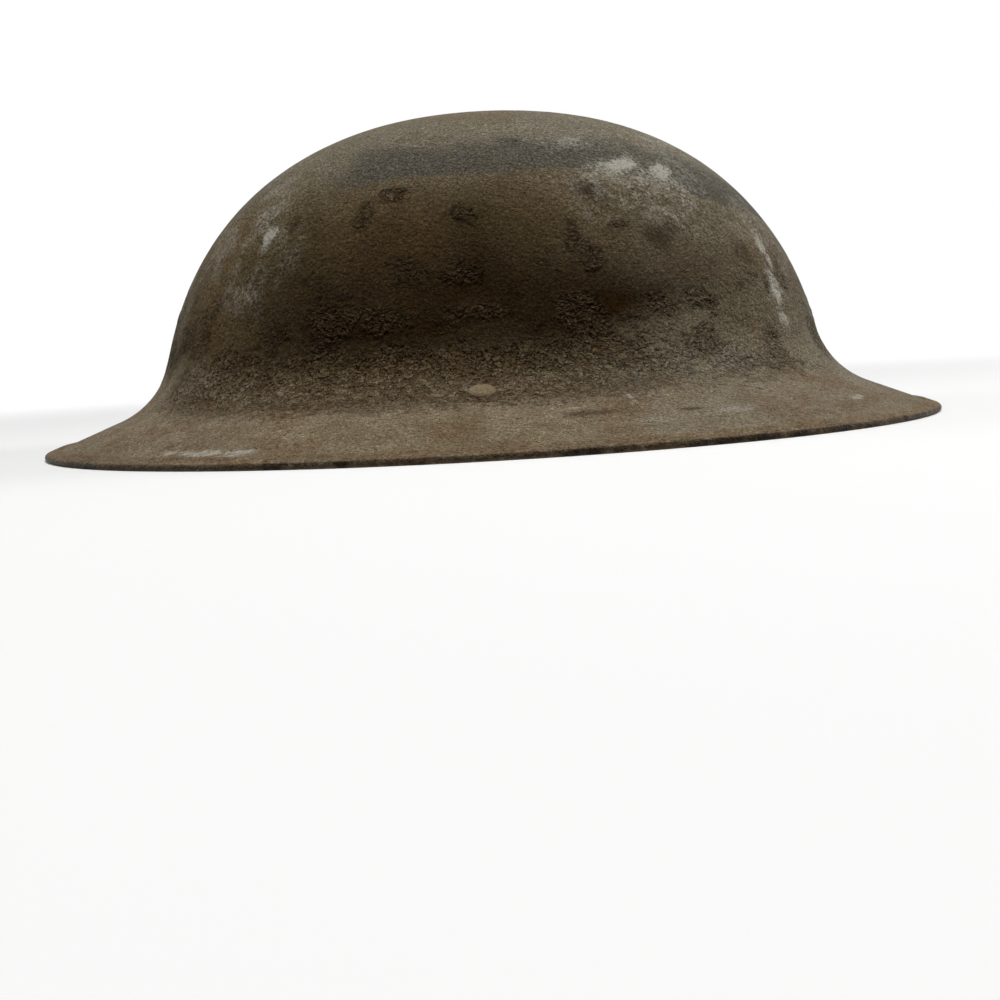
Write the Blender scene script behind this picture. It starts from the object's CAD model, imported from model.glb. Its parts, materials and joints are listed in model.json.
# Steel helmet with a wide brim: the looks of its shell, liner and chinstrap, with camera and lights.
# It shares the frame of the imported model: +X is the front, +Y the wearer's left, +Z up.
# The helmet's sizes are in millimetres, and mesh_object makes metres of them.
# The camera and the lights are placed in metres.
import json
import math

import bpy
import numpy as np
from mathutils import Matrix, Vector


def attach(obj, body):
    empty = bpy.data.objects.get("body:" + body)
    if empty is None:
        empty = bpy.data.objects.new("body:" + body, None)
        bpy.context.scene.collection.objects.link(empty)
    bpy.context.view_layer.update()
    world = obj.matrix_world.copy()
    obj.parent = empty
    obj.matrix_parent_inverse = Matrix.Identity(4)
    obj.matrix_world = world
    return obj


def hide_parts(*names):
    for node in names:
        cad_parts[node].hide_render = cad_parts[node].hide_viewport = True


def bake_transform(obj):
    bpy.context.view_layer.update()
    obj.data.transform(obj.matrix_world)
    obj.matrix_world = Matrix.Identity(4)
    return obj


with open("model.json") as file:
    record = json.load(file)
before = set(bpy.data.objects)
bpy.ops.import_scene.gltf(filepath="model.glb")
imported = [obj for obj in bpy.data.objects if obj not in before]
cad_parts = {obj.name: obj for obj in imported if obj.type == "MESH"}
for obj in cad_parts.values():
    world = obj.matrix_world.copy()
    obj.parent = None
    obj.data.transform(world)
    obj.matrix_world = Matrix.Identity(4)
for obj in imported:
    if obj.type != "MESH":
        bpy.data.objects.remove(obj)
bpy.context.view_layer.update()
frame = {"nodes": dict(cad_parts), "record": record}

MM = 0.001

# Sizes of the shell in millimetres, as the solids have them
BRIM_LENGTH = 305
BRIM_WIDTH = 290
CROWN_HEIGHT = 107.7
BOWL_HALF_LENGTH = 117
BOWL_HALF_WIDTH = 98
BOWL_DEPTH = 119.5
SQUARENESS = 2.34
BEND_RISE = 11.2
BRIM_SLOPE = math.radians(21.5)
BEND_HEIGHT = BEND_RISE + (BRIM_WIDTH / 2 - BOWL_HALF_WIDTH) * math.tan(BRIM_SLOPE)
BOWL_SHIFT = 1.2
STEEL = 0.9
RIM_WALL = 0.6
RIM_LEG = 4.8
RIM_GAP = 0.05
RIM_FLAT = 0.12
RIM_SEAM = 0.4
NOSE_R = STEEL / 2 + RIM_GAP + RIM_WALL
NOSE_Z = NOSE_R - RIM_FLAT

# Sizes of the liner
END_ROOM = 14
SIDE_ROOM = 14.1
HEADBAND_T = 1.8
HEADBAND_BASE = 18
HEADBAND_W = 36
CARRIER_T = 1
CARRIER_W = 22
THREAD = 0.9
CUSHION_COUNT = 12
CUSHION_D = 9
CUSHION_BORE = 5
CUSHION_LEN = 20
NET_SEWN = 6
NET_DROP = 14
NET_HOLE = 0.13
NET_T = 2
NET_AROUND = 18
NET_ROWS = 8
DRAWCORD_D = 2.4
FELT_D = 52
FELT_DROP = 6
WASHER_D = 22
WASHER_T = 1
OILCLOTH_T = 0.8
OILCLOTH_CLEAR = 2
CLOTH_COLUMNS = 15
OILCLOTH_MIDDLE_R = 32
FINGER_COUNT = 8
FINGER_W = 22
FINGER_FLARE = 3
FINGER_SEWN = 9
FIT = 0.05
LOOSE = 0.3
TOUCH_GAP = 0.1

# Sizes of the rivets, bails and straps
CROWN_HEAD_D = 13
CROWN_HEAD_H = 1.7
CROWN_SHANK_D = 5
FITTING_BACK = 2.5
FITTING_OUT = 9.3
RIVET_HEAD_D = 7.8
RIVET_HEAD_H = 1.5
RIVET_SHANK_D = 4
RIVET_TAIL_D = 6.6
LUG_T = 0.8
LUG_W = 12
LUG_REACH = 7
LUG_BACK = 4.6
LUG_GAP = 0.3
BAIL_WIRE_D = 2.4
BAIL_W = 22
BAIL_LEN = 22
BAIL_CORNER = 3
STRAP_W = 16
STRAP_T = 2
SKIVE = 0.1
STRAP_HEIGHT = 3.7
LOOP_LEN = 20
STRAP_ASIDE = math.radians(12)
SHORT_LEN = 88
LONG_INNER_LEN = 98
LONG_OUTER_LEN = 88
LONG_TIP = LOOP_LEN + LONG_INNER_LEN - LONG_OUTER_LEN
POINT_LEN = 0.6 * STRAP_W
FOLD_GAP = 0.4
HOLE_COUNT = 6
HOLE_PITCH = 11
HOLE_D = 3
BUCKLE_LOOP_LEN = 16
BUCKLE_WIRE_D = 2
BUCKLE_W = 21
BUCKLE_LEN = 14
BUCKLE_CORNER = 2.5
SLOT_W = 4.6
SLOT_LEN = 4.5
TONGUE_W = 2.4
TONGUE_T = 1
KEEPER_T = 1.4
KEEPER_W = 8
KEEPER_PLACE = 46
MEETING = 2.6

# Meshes of the shell and the rim
AROUND = 900
SHELL_ROWS = 200
INSIDE_AROUND = 300
INSIDE_ROWS = 80


# Noise

def lattice(i, j, k, seed):
    """A fixed random number from 0 to 1 for each whole-numbered place."""
    h = i * 73856093 ^ j * 19349663 ^ k * 83492791 ^ seed * 26544357
    h = (h ^ (h >> 13)) * 1274126177
    h = (h ^ (h >> 16)) * 668265263
    return ((h ^ (h >> 15)) & 0xFFFFFF) / 0xFFFFFF


def noise(points, size, seed):
    """Smooth noise from 0 to 1 at points in millimetres, with bumps about size apart."""
    scaled = points / size + 1000.5 + seed * 7.31
    whole = np.floor(scaled).astype(np.int64)
    part = scaled - whole
    part = part * part * (3 - 2 * part)
    total = np.zeros(points.shape[:-1])
    for corner in range(8):
        step = np.array([corner & 1, corner >> 1 & 1, corner >> 2 & 1])
        share = np.where(step, part, 1 - part).prod(-1)
        place = whole + step
        total += share * lattice(place[..., 0], place[..., 1], place[..., 2], seed)
    return total


def layered(points, size, seed, octaves=3):
    """Noise from about 0 to 1 in octaves, each half the size and strength of the one before."""
    total = 0
    weight = 0
    for octave in range(octaves):
        strength = 0.5 ** octave
        total = total + strength * noise(points, size / 2 ** octave, seed + octave)
        weight += strength
    return total / weight


def smooth(value, low, high):
    """0 below low, 1 above high, and a smooth step between; low may be above high."""
    share = np.clip((value - low) / (high - low), 0, 1)
    return share * share * (3 - 2 * share)


# Meshes

def grid_faces(rows, count, closed=True):
    """Quads between rows of points, each with the same count, joined round if closed."""
    row, column = np.meshgrid(np.arange(rows - 1), np.arange(count if closed else count - 1), indexing="ij")
    a = row * count + column
    b = row * count + (column + 1) % count
    return np.stack([a, a + count, b + count, b], -1).reshape(-1, 4)


def mesh_object(name, points, faces, smooth_shade=True):
    """A mesh object from points in millimetres."""
    mesh = bpy.data.meshes.new(name)
    mesh.from_pydata((np.asarray(points, float) * MM).tolist(), [], faces)
    mesh.update()
    if smooth_shade:
        mesh.shade_smooth()
    piece = bpy.data.objects.new(name, mesh)
    bpy.context.scene.collection.objects.link(piece)
    return piece


def xyz(x, y, z):
    """Points from their coordinates, which are numbers or arrays."""
    return np.stack(np.broadcast_arrays(x, y, z), -1)


def travelled(points):
    """How far along a line each of its points lies."""
    return np.concatenate([[0], np.cumsum(np.linalg.norm(np.diff(points, axis=0), axis=1))])


def even_steps(points, step):
    """A line again, with its points at even steps."""
    length = travelled(points)
    even = np.linspace(0, length[-1], int(length[-1] / step) + 1)
    return np.stack([np.interp(even, length, axis) for axis in np.transpose(points)], -1)


def dress(piece, body, slot, *nodes, material=None):
    """Gives a piece its body, the nodes it stands for, its slot, and the slot's material or another."""
    piece.data.materials.clear()
    piece.data.materials.append(material or materials[slot])
    if nodes:
        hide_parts(*nodes)
    if body:
        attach(piece, body)
    return piece


def paint_mask(piece, name, values):
    """Keeps one number per point of the mesh for its material."""
    attribute = piece.data.attributes.new(name, "FLOAT", "POINT")
    attribute.data.foreach_set("value", np.asarray(values, np.float32).ravel())


# Materials

# The rays that see the white background
SEEING_RAYS = ("Is Camera Ray", "Is Glossy Ray", "Is Transmission Ray")


class Nodes:
    """The nodes of a material or of the world, written as calls."""

    def __init__(self, tree):
        self.tree = tree

    def put(self, socket, value):
        """Links a socket to another node's output, or gives it a number or a colour."""
        if isinstance(value, bpy.types.NodeSocket):
            self.tree.links.new(value, socket)
        elif socket.type == "RGBA":
            socket.default_value = (*value, 1)
        else:
            socket.default_value = value

    def node(self, kind, inputs=None, **settings):
        made = self.tree.nodes.new(kind)
        for key, value in settings.items():
            setattr(made, key, value)
        for key, value in (inputs or {}).items():
            self.put(made.inputs[key], value)
        return made

    def math(self, operation, *values):
        return self.node("ShaderNodeMath", dict(enumerate(values)), operation=operation).outputs[0]

    def times(self, a, b):
        return self.math("MULTIPLY", a, b)

    def plus(self, a, b):
        return self.math("ADD", a, b)

    def step(self, value, low, high, start=0.0, end=1.0):
        """A smooth step from start to end as value goes from low to high."""
        inputs = {"Value": value, "From Min": low, "From Max": high, "To Min": start, "To Max": end}
        return self.node("ShaderNodeMapRange", inputs, interpolation_type="SMOOTHSTEP").outputs["Result"]

    def seen(self, value):
        """The value, or 1 for the rays that see the white background."""
        path = self.node("ShaderNodeLightPath")
        for ray in SEEING_RAYS:
            value = self.math("MAXIMUM", value, path.outputs[ray])
        return value


class Paint(Nodes):
    """A new material, whose textures lie at places on its object."""

    def __init__(self, name, roughness=0.6):
        self.material = bpy.data.materials.new(name)
        self.material.use_nodes = True
        super().__init__(self.material.node_tree)
        self.shader = self.tree.nodes["Principled BSDF"]
        self.put(self.shader.inputs["Roughness"], roughness)
        self.place = self.node("ShaderNodeTexCoord").outputs["Object"]

    def noise(self, size, detail=4.0, rough=0.55, vector=None, distortion=0.0):
        """Noise with bumps about size millimetres apart."""
        inputs = {"Vector": vector or self.place, "Scale": 1 / (size * MM), "Detail": detail,
                  "Roughness": rough, "Distortion": distortion}
        return self.node("ShaderNodeTexNoise", inputs).outputs["Fac"]

    def cells(self, size, feature="F1"):
        """Distance to the nearest of points about size millimetres apart."""
        inputs = {"Vector": self.place, "Scale": 1 / (size * MM)}
        return self.node("ShaderNodeTexVoronoi", inputs, feature=feature).outputs["Distance"]

    def stretched(self, x, y, z):
        """The place, with each axis drawn out by a factor."""
        inputs = {"Vector": self.place, "Scale": (1 / x, 1 / y, 1 / z)}
        return self.node("ShaderNodeMapping", inputs).outputs[0]

    def mix(self, share, a, b, blend="MIX"):
        inputs = {0: share, 6: a, 7: b}
        return self.node("ShaderNodeMix", inputs, data_type="RGBA", blend_type=blend).outputs[2]

    def shade(self, value, low, high, a, b, most=1.0):
        """Colour a where value is below low, turning to b above high, or to a share of b."""
        return self.mix(self.step(value, low, high, 0, most), a, b)

    def tinted(self, share, colour, tint):
        """The colour, multiplied by a tint by a share."""
        return self.mix(share, colour, self.mix(1.0, colour, tint, "MULTIPLY"))

    def ragged(self, mask, noise, amount):
        """A mask with its edge made ragged by a noise."""
        return self.plus(mask, self.times(self.math("SUBTRACT", noise, 0.5), amount))

    def mask(self, name):
        return self.node("ShaderNodeAttribute", attribute_name=name).outputs["Fac"]

    def upward(self, normal):
        """How far a normal points up, from -1 to 1."""
        return self.node("ShaderNodeSeparateXYZ", {"Vector": normal}).outputs["Z"]

    def bump(self, height, depth, under=None):
        """A bump of the height, depth millimetres deep, over another one."""
        inputs = {"Height": height, "Distance": depth * MM}
        if under is not None:
            inputs["Normal"] = under
        return self.node("ShaderNodeBump", inputs).outputs["Normal"]

    def finish(self, colour, roughness=None, metallic=None, normal=None):
        for key, value in (("Base Color", colour), ("Roughness", roughness),
                           ("Metallic", metallic), ("Normal", normal)):
            if value is not None:
                self.put(self.shader.inputs[key], value)
        return self.material


class SteelPaint(Paint):
    """Brown-olive paint with sand in it, stained, chipped and rubbed through to grey metal."""

    def __init__(self, name, sand):
        super().__init__(name)
        self.put(self.shader.inputs["Specular IOR Level"], 0.008)
        self.sand = sand
        self.cloudy = self.noise(11, 7, 0.62)
        self.fine = self.noise(2.6, 6, 0.65)
        self.grain = self.noise(0.85, 4, 0.7)
        self.speck = self.noise(0.4, 3, 0.7)
        self.streaks = self.noise(0.9, 4, 0.65, self.stretched(1, 1, 7))
        crumbs = self.noise(2.2, 2, 0.55, distortion=0.6)
        self.raised = self.plus(crumbs, self.times(self.mask("crumb"), 0.05))
        gritty = self.ragged(self.ragged(self.mask("grit"), self.cloudy, 0.7), self.fine, 0.9)
        self.thick = self.step(gritty, 0.08, 0.6, 0.0, sand)
        self.stain = self.mask("stain")
        self.bare = self.math("SUBTRACT", 1, self.times(self.stain, 0.8))
        self.tan = self.mask("tan")

    def aged(self):
        """Olive brown, greyer towards the crown and tan on the brim, with a dark stain between."""
        olive = self.shade(self.cloudy, 0.35, 0.68, (0.130, 0.090, 0.043), (0.188, 0.138, 0.072))
        olive = self.shade(self.noise(38, 3), 0.42, 0.66, olive, (0.120, 0.096, 0.049), 0.7)
        tan = self.shade(self.cloudy, 0.35, 0.68, (0.200, 0.158, 0.100), (0.285, 0.232, 0.160))
        grey = self.shade(self.fine, 0.35, 0.65, (0.165, 0.148, 0.108), (0.240, 0.222, 0.170))
        stained = self.shade(self.cloudy, 0.35, 0.68, (0.015, 0.0058, 0.0012), (0.032, 0.0155, 0.004))
        greyed = self.times(self.mask("grey"), self.step(self.cloudy, 0.25, 0.7, 0.6, 1))
        brushed = self.times(greyed, self.step(self.streaks, 0.45, 0.65, 0, 0.35))
        rusty = self.times(self.mask("rust"), self.step(self.fine, 0.3, 0.62, 0, 0.6))
        dark = self.times(self.stain, self.step(self.cloudy, 0.22, 0.6, 0.8, 1))
        colour = self.mix(greyed, self.mix(self.tan, olive, tan), grey)
        colour = self.mix(brushed, colour, (0.34, 0.33, 0.28))
        colour = self.mix(rusty, colour, (0.150, 0.084, 0.042))
        return self.mix(dark, colour, stained)

    def banded(self, colour):
        """A grey band with a ragged edge, brushed downward."""
        band = self.ragged(self.ragged(self.mask("band"), self.cloudy, 1.3), self.streaks, 0.8)
        grey = self.shade(self.streaks, 0.38, 0.65, (0.080, 0.074, 0.060), (0.135, 0.128, 0.108))
        return self.shade(band, 0.15, 1.0, colour, grey, 0.85)

    def sandy(self, colour):
        """Dark hollows between crumbs of grit, and sand grains lighter and darker than the paint."""
        hollow = self.times(self.step(self.raised, 0.54, 0.44, 0.0, 0.7), self.thick)
        colour = self.tinted(hollow, colour, (0.36, 0.27, 0.19))
        colour = self.tinted(self.step(self.grain, 0.53, 0.66, 0, 0.7 * self.sand), colour, (0.3, 0.26, 0.22))
        colour = self.tinted(self.step(self.speck, 0.53, 0.68, 0, 0.75), colour, (0.25, 0.2, 0.16))
        lighter = self.mix(1.0, colour, (2.1, 2.05, 1.95), "MULTIPLY")
        colour = self.shade(self.grain, 0.46, 0.34, colour, lighter, 0.85 * self.sand)
        colour = self.shade(self.speck, 0.46, 0.33, colour, lighter)
        flecks = self.times(self.step(self.speck, 0.62, 0.7), self.step(self.fine, 0.4, 0.62, 0.05, 0.7))
        return self.mix(self.times(flecks, self.bare), colour, (0.42, 0.37, 0.28))

    def rubbed_through(self, colour):
        """Whitish metal through a speckled haze, and dark polished edges: colour, roughness and metallic."""
        lines = self.noise(0.7, 4, 0.65, self.stretched(10, 1, 1))
        clouds = self.step(self.cloudy, 0.35, 0.62, -0.15, 0.4)
        speckled = self.plus(clouds, self.step(self.fine, 0.38, 0.62, 0, 0.45))
        speckled = self.plus(speckled, self.step(self.grain, 0.4, 0.62, 0.3, -0.3))
        downward = self.step(self.streaks, 0.42, 0.62, 0, 0.5)
        drawn = self.mix(self.tan, downward, self.step(lines, 0.42, 0.6, -0.4, 0.8))
        wear = self.mask("wear")
        haze = self.plus(self.plus(speckled, drawn), self.step(wear, 0.6, 1.0, 0, 0.65))
        worn = self.step(self.times(self.step(wear, 0.0, 1.0), haze), 0.0, 1.25, 0, 0.85)
        polish = self.times(self.mask("rubbed"), self.step(self.fine, 0.3, 0.6, 0.75, 1))
        colour = self.mix(worn, colour, (0.47, 0.45, 0.385))
        colour = self.mix(polish, colour, (0.016, 0.011, 0.008))
        dull = self.step(self.fine, 0.2, 0.8, 0.46, 0.66)
        roughness = self.math("SUBTRACT", dull, self.times(polish, 0.16))
        metallic = self.math("MAXIMUM", self.times(worn, 0.3), self.times(polish, 0.35))
        return colour, roughness, metallic

    def relief(self):
        """Bumps of large and small crumbs, and of the paint's own grain."""
        small_crumbs = self.noise(1.2, 1, 0.5, distortion=0.6)
        normal = self.bump(self.times(self.step(self.raised, 0.44, 0.66), self.thick), 1.7)
        share = self.plus(self.times(self.thick, 0.8), 0.2 * self.sand)
        normal = self.bump(self.times(self.step(small_crumbs, 0.42, 0.64), share), 0.8, normal)
        for height, depth in ((self.fine, 0.3), (self.grain, 0.35), (self.speck, 0.2)):
            normal = self.bump(height, depth * self.sand, normal)
        return normal

    def dusty(self, colour, normal):
        """Dust lies on whatever faces up out of the steel, and dirt under it."""
        steel = self.node("ShaderNodeNewGeometry").outputs["Normal"]
        tilt = self.math("SUBTRACT", self.upward(normal), self.upward(steel))
        share = self.plus(self.times(self.thick, 0.42), self.times(self.bare, 0.16))
        colour = self.mix(self.times(self.step(tilt, 0.16, 0.65), share), colour, (0.32, 0.238, 0.142))
        return self.tinted(self.step(tilt, -0.1, -0.5, 0, 0.9), colour, (0.22, 0.17, 0.13))


def painted_steel(name, sand=1.0):
    p = SteelPaint(name, sand)
    colour, roughness, metallic = p.rubbed_through(p.sandy(p.banded(p.aged())))
    normal = p.relief()
    return p.finish(p.dusty(colour, normal), roughness, metallic, normal)


def plain_metal(name, light, dark):
    """Bare metal, tarnished in clouds and scratched a little."""
    p = Paint(name)
    cloudy = p.noise(3, 6, 0.6)
    fine = p.noise(0.5, 4, 0.6)
    tone = p.shade(cloudy, 0.35, 0.65, dark, light)
    tone = p.shade(fine, 0.55, 0.7, tone, dark, 0.5)
    roughness = p.step(cloudy, 0.3, 0.7, 0.6, 0.4)
    return p.finish(tone, roughness, p.step(cloudy, 0.3, 0.6, 0.55, 0.9), p.bump(fine, 0.03))


def scaled(colour, share):
    return tuple(part * share for part in colour)


def leather(name, light, dark):
    """Grained leather in clouds of two browns, dark at its edges and lighter where it is rubbed."""
    p = Paint(name)
    cloudy = p.noise(14, 5)
    grain = p.cells(0.9)
    tone = p.shade(cloudy, 0.35, 0.65, dark, light)
    tone = p.mix(p.times(p.mask("rubbed"), 0.45), tone, scaled(light, 1.6))
    tone = p.shade(grain, 0.35, 0.7, tone, scaled(dark, 0.35), 0.45)
    tone = p.mix(p.times(p.mask("edge"), 0.8), tone, scaled(dark, 0.3))
    normal = p.bump(p.noise(0.6, 4), 0.06, p.bump(p.step(grain, 0.1, 0.7, 1, 0), 0.12))
    return p.finish(tone, p.step(cloudy, 0.3, 0.7, 0.42, 0.62), None, normal)


def felt_cloth():
    """Pressed felt with short matted hairs."""
    p = Paint("felt_cloth", 0.95)
    hairs = p.noise(0.7, 8, 0.75, distortion=1.5)
    tone = p.shade(hairs, 0.35, 0.7, (0.13, 0.125, 0.10), (0.34, 0.33, 0.28))
    tone = p.shade(p.noise(9, 4), 0.4, 0.7, tone, (0.16, 0.12, 0.07), 0.5)
    return p.finish(tone, normal=p.bump(hairs, 0.35))


def woven_tape():
    """Cotton tape in a plain weave, faded and stained, with its threads along and across the band."""
    p = Paint("woven_tape", 0.9)
    weave = p.times(*[p.math("SINE", p.times(p.mask(way), math.pi / THREAD)) for way in ("along", "across")])
    fibres = p.noise(0.35, 4, 0.65)
    tone = p.shade(weave, -0.7, 0.7, (0.17, 0.150, 0.095), (0.36, 0.325, 0.235))
    tone = p.shade(fibres, 0.4, 0.7, tone, (0.42, 0.38, 0.28), 0.4)
    tone = p.shade(p.noise(12, 5), 0.42, 0.7, tone, (0.13, 0.095, 0.055), 0.6)
    return p.finish(tone, normal=p.bump(fibres, 0.06, p.bump(weave, 0.14)))


def hemp_twine():
    """Hemp with pale hairs, dirty in clouds."""
    p = Paint("hemp_twine", 0.85)
    hairs = p.noise(0.45, 6, 0.7, distortion=0.8)
    tone = p.shade(hairs, 0.35, 0.68, (0.17, 0.125, 0.07), (0.40, 0.32, 0.205))
    tone = p.shade(p.noise(16, 4), 0.42, 0.7, tone, (0.11, 0.08, 0.045), 0.6)
    return p.finish(tone, normal=p.bump(hairs, 0.22))


def oilcloth_skin():
    """Black oilcloth, crazed and dusty."""
    p = Paint("oilcloth_skin")
    cracks = p.cells(4, feature="DISTANCE_TO_EDGE")
    dust = p.noise(6, 7, 0.65)
    tone = p.shade(dust, 0.45, 0.75, (0.018, 0.017, 0.015), (0.085, 0.075, 0.058))
    tone = p.mix(p.step(cracks, 0.0, 0.06, 0.7, 0), tone, (0.16, 0.13, 0.09))
    normal = p.bump(dust, 0.1, p.bump(p.step(cracks, 0, 0.1), 0.12))
    return p.finish(tone, p.step(dust, 0.4, 0.7, 0.3, 0.6), None, normal)


def rubber_skin():
    """Aged rubber, bloomed grey."""
    p = Paint("rubber_skin")
    bloom = p.noise(5, 6, 0.6)
    tone = p.shade(bloom, 0.4, 0.7, (0.052, 0.045, 0.038), (0.15, 0.135, 0.115))
    return p.finish(tone, p.step(bloom, 0.3, 0.7, 0.55, 0.8), None, p.bump(p.noise(0.8, 3), 0.08))


# Shell

def ellipse_r(a, b, phi):
    """Radius of an ellipse at a polar angle."""
    return 1 / np.sqrt((np.cos(phi) / a) ** 2 + (np.sin(phi) / b) ** 2)


def bowl_radius(phi):
    return ellipse_r(BOWL_HALF_LENGTH, BOWL_HALF_WIDTH, phi)


def edge_place(phi):
    """Radius and height of the outer face's lower end, inside the folded rim."""
    r = ellipse_r(BRIM_LENGTH / 2, BRIM_WIDTH / 2, phi) - NOSE_R
    return r + math.sin(BRIM_SLOPE) * STEEL / 2, NOSE_Z + math.cos(BRIM_SLOPE) * STEEL / 2


def section(phi, rows):
    """Radius, height and slope of the outer face at rows places, evenly spaced from crown to edge."""
    bend_turn = math.acos((1 - (CROWN_HEIGHT - BEND_HEIGHT) / BOWL_DEPTH) ** (SQUARENESS / 2))
    turn = np.linspace(1e-4, bend_turn, 300)
    bowl_r = bowl_radius(phi) * np.sin(turn) ** (2 / SQUARENESS)
    bowl_z = CROWN_HEIGHT - BOWL_DEPTH * (1 - np.cos(turn) ** (2 / SQUARENESS))
    bowl_slope = np.arctan(BOWL_DEPTH / bowl_radius(phi) * np.tan(turn) ** (2 - 2 / SQUARENESS))
    edge_r, edge_z = edge_place(phi)
    fall = np.tan(bowl_slope[-1])
    brim_fall = math.tan(BRIM_SLOPE)
    corner_r = (bowl_z[-1] - edge_z + fall * bowl_r[-1] - brim_fall * edge_r) / (fall - brim_fall)
    corner_z = bowl_z[-1] - fall * (corner_r - bowl_r[-1])
    reach = math.hypot(corner_r - bowl_r[-1], corner_z - bowl_z[-1])
    radius = reach / math.tan((bowl_slope[-1] - BRIM_SLOPE) / 2)
    bend_slope = np.linspace(bowl_slope[-1], BRIM_SLOPE, 100)[1:]
    bend_r = bowl_r[-1] + radius * (math.sin(bowl_slope[-1]) - np.sin(bend_slope))
    bend_z = bowl_z[-1] - radius * (np.cos(bend_slope) - math.cos(bowl_slope[-1]))
    r = np.concatenate([[0], bowl_r, bend_r, [edge_r]])
    z = np.concatenate([[CROWN_HEIGHT], bowl_z, bend_z, [edge_z]])
    slope = np.concatenate([[0], bowl_slope, bend_slope, [BRIM_SLOPE]])
    length = travelled(np.stack([r, z], -1))
    even = np.linspace(0, length[-1], rows + 1)[1:]
    return np.interp(even, length, r), np.interp(even, length, z), np.interp(even, length, slope)


def face_grid(around, rows, inward=0.0):
    """Points and normals of the outer face, or of one that lies inward of it, row by row."""
    points = np.zeros((rows, around, 3))
    normals = np.zeros((rows, around, 3))
    for i in range(around):
        phi = 2 * math.pi * i / around
        r, z, slope = section(phi, rows)
        share = np.clip((edge_place(phi)[0] - r) / (edge_place(phi)[0] - bowl_radius(phi)), 0, 1)
        r = r - inward * np.sin(slope)
        z = z - inward * np.cos(slope)
        points[:, i] = xyz(r * math.cos(phi) + BOWL_SHIFT * share, r * math.sin(phi), z)
        normals[:, i] = xyz(np.sin(slope) * math.cos(phi), np.sin(slope) * math.sin(phi), np.cos(slope))
    return points, normals


# Marks on the wearer's right side: x, y and z of the middle, half size along and down, and strength
WORN = [
    (43, -60, 81, 9, 4, 0.95), (54, -55, 79, 9, 5, 1.0), (47, -68, 70, 12, 7, 0.75),
    (38, -63, 80, 12, 6, 0.7), (50, -60, 77, 30, 17, 0.6), (30, -55, 88, 18, 6, 0.6),
    (36, -76, 66, 16, 10, 0.4), (62, -58, 70, 6, 12, 0.7),
    (88, -47, 52, 4.5, 9, 1.0), (91, -52, 41, 5, 11, 1.0), (93, -54, 32, 4.5, 7, 1.0),
    (92, -50, 42, 10, 15, 0.5), (80, -50, 66, 12, 8, 0.4), (-65, -59, 66, 4, 6, 1.0),
    (-68, -52, 72, 11, 14, 0.65), (-64, -44, 81, 14, 8, 0.55), (-78, -45, 58, 7, 16, 0.45),
    (-82, -113, 4.2, 22, 3.0, 1.0), (-70, -119, 4, 15, 2.0, 1.0), (-88, -98, 8, 22, 5, 0.45),
    (108, -79, 7.6, 7, 1.6, 1.0), (113, -93, 2, 12, 1.2, 0.9), (42, -124.7, 6.6, 7, 3, 0.8),
    (42, -96.5, 17.7, 4, 4, 0.7), (71, -80, 21, 14, 7, 0.4), (37, -110, 13, 0.8, 6, 0.95),
    (100, -86, 9, 12, 4, 0.5), (84, -90, 12, 26, 9, 0.42), (60, -92, 19, 26, 7, 0.35),
    (66, -112, 8, 9, 2.5, 0.7), (12, -52, 96, 14, 5, 0.45), (-92, -60, 22, 12, 6, 0.35),
]
DARK = [
    (32.5, -72, 72.3, 4.5, 4, 0.7), (52.5, -73, 58, 4.5, 5, 0.5), (56, -70, 61, 4, 4, 0.4),
    (79, -58, 54, 6, 5, 0.45), (28, -121.4, 9.2, 9, 1.8, 0.7), (53, -116, 8.7, 4, 1.2, 0.8),
    (-58, -64, 70, 3, 4, 0.6), (-24, -118, 9, 8, 1.5, 0.4),
]
PITTED = [
    (-7, -88, 50, 5, 4, 1.0), (26, -82, 58, 3, 6, 1.0), (31, -83, 52, 3.5, 5, 1.0), (26, -91, 36, 8, 6, 1.0),
    (27, -93, 30, 7, 4, 0.9), (63, -76, 40, 6, 3, 0.8), (75, -74, 33, 7, 3, 0.8), (-26, -71, 74, 5, 3, 0.9),
    (-34, -73, 69, 3, 6, 0.7), (-2, -93, 38, 10, 3, 0.8), (40, -77, 62, 5, 2.0, 0.8),
    (-5, -78, 66, 5, 4, 0.9), (-30, -90, 38, 9, 5, 0.6), (-48, -84, 36, 8, 8, 0.55),
    (-22, -86, 52, 6, 5, 0.5), (50, -84, 38, 7, 5, 0.6),
]


def marked(points, marks, seed):
    """How far each point lies inside the marks, from 0 to 1, with ragged edges."""
    total = np.zeros(points.shape[:-1])
    ragged = layered(points, 6, seed, 4) - 0.5
    for x, y, z, along, down, strength in marks:
        away = points - np.array([x, y, z])
        side = np.array([-y, x, 0]) / math.hypot(x, y)
        sideways = away @ side
        rest = np.sqrt(np.maximum((away ** 2).sum(-1) - sideways ** 2, 0))
        reach = np.hypot(sideways / along, rest / down) + 1.4 * ragged
        total = np.maximum(total, strength * smooth(reach, 1.5, 0.1))
    return total


def stain_mask(points, side, ahead):
    """Stain over the lower bowl, deepest on the flanks."""
    x, _, z = np.moveaxis(points, -1, 0)
    loose = layered(points, 26, 11)
    lighter = 0.5 * smooth(z, 38, 58) * smooth(x, -5, 30)
    wall = smooth(z - 12 * ahead, 20, 34) * smooth(z, 92, 44) * (1 - lighter)
    stain = wall * smooth(side, 0.5, 0.95) * (0.95 + 0.7 * (loose - 0.5))
    return np.clip(stain + 0.3 * wall * smooth(side, 0.9, 0.3) + marked(points, DARK, 71), 0, 1)


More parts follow.
